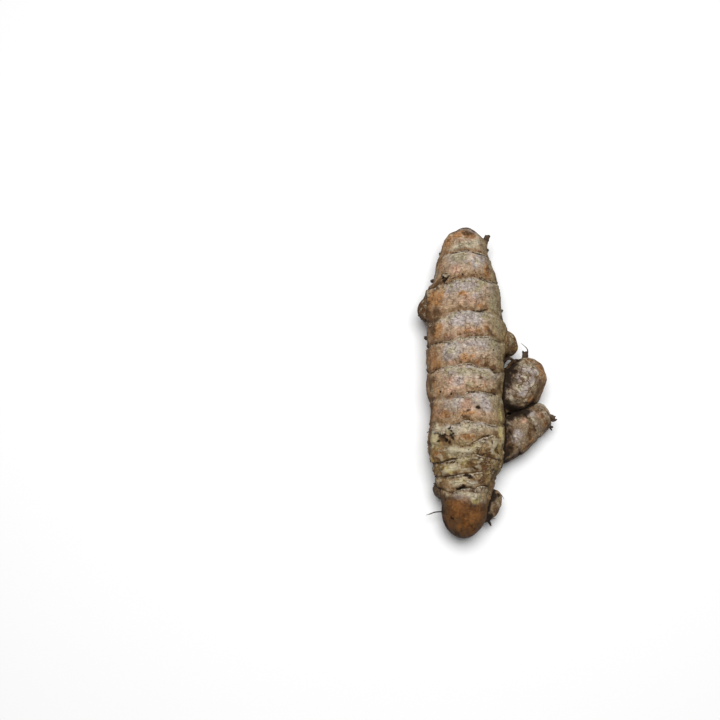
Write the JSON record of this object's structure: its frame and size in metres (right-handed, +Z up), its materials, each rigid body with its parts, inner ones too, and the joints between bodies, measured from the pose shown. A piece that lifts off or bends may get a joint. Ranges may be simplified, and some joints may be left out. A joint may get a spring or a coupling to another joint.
{
  "type": "turmeric root",
  "caption": "Whole fresh turmeric rhizome: a ringed spindle with side fingers, buds and snapped root stubs, lying on a small flat of its belly.",
  "frame": {"origin": "middle of the bounding box, at the bottom, on the surface that the root lies on", "axes": "+Y along the root towards its far, narrower shouldered end; +X towards the side with the fingers; +Z up"},
  "size_m": [0.0454, 0.1062, 0.0238],
  "materials": {
    "skin": "dry papery skin, beige to orange-brown, darker in the ring creases, matt with a faint sheen"
  },
  "bodies": {
    "root": {"rhizome": "skin"}
  },
  "joints": []
}
